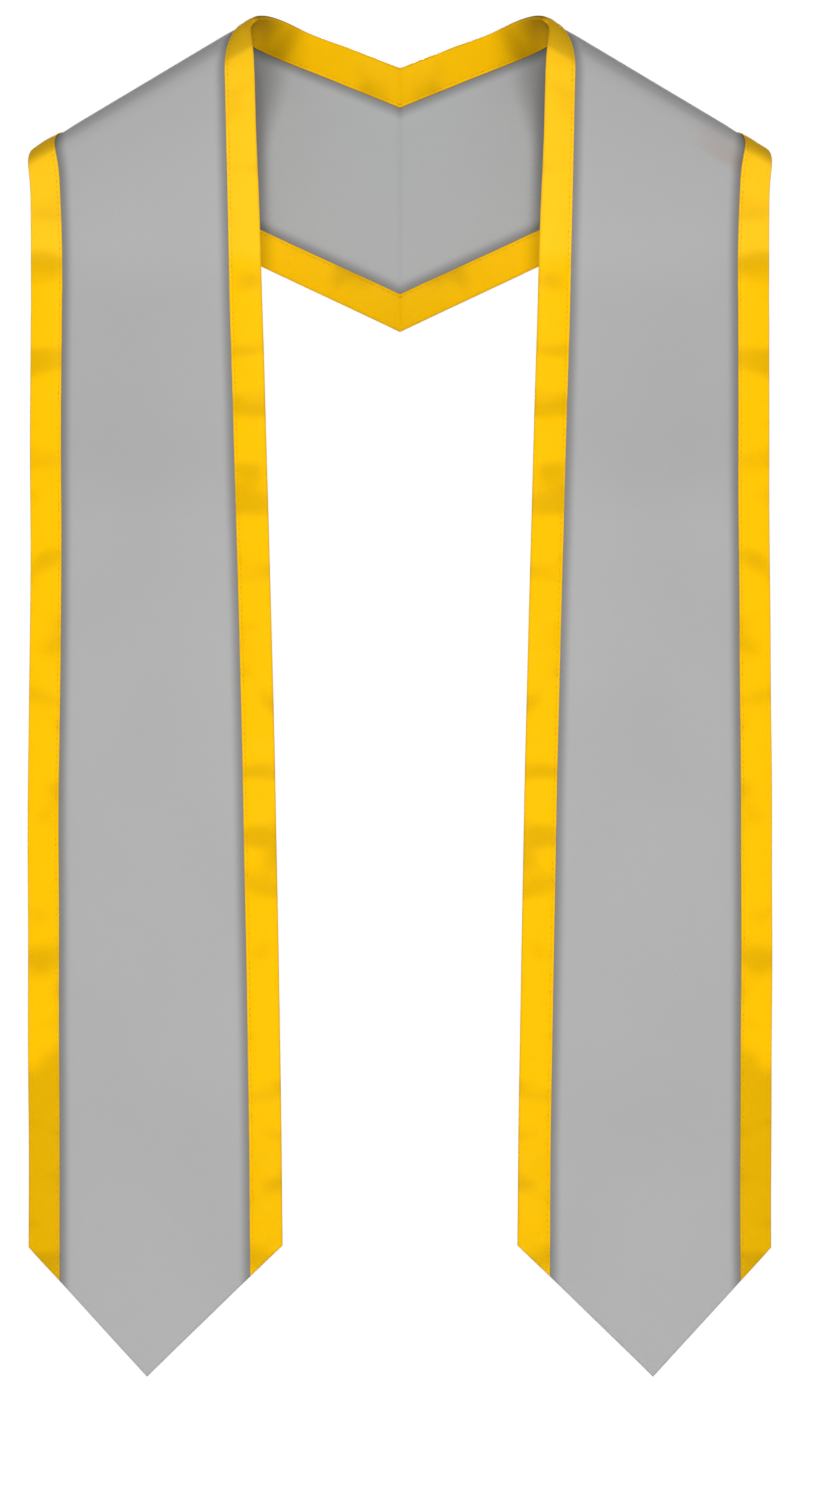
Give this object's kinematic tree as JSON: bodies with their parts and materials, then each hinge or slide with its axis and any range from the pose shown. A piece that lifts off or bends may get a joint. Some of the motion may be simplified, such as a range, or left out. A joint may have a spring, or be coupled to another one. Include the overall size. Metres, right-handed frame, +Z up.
{
  "type": "graduation stole",
  "caption": "Graduation stole in worn form: gray satin bands with gold satin bindings, joined by a seam at the centre back and cut to a point at each hem.",
  "frame": {"origin": "the nape: the neck edge of the centre back seam, where the stole sits on the wearer's neck (mount neck_rest)", "axes": "+Z up, along the hanging bands; +X to the right as seen from the front; the chest side faces -Y and the back +Y"},
  "size_m": [0.4066, 0.1006, 0.7431],
  "materials": {
    "gray_satin": "satin",
    "gold_satin": "satin"
  },
  "bodies": {
    "root": {"left_panel": "gray_satin", "right_panel": "gray_satin", "left_neck_binding": "gold_satin", "right_neck_binding": "gold_satin", "left_outer_binding": "gold_satin", "right_outer_binding": "gold_satin"}
  },
  "joints": []
}
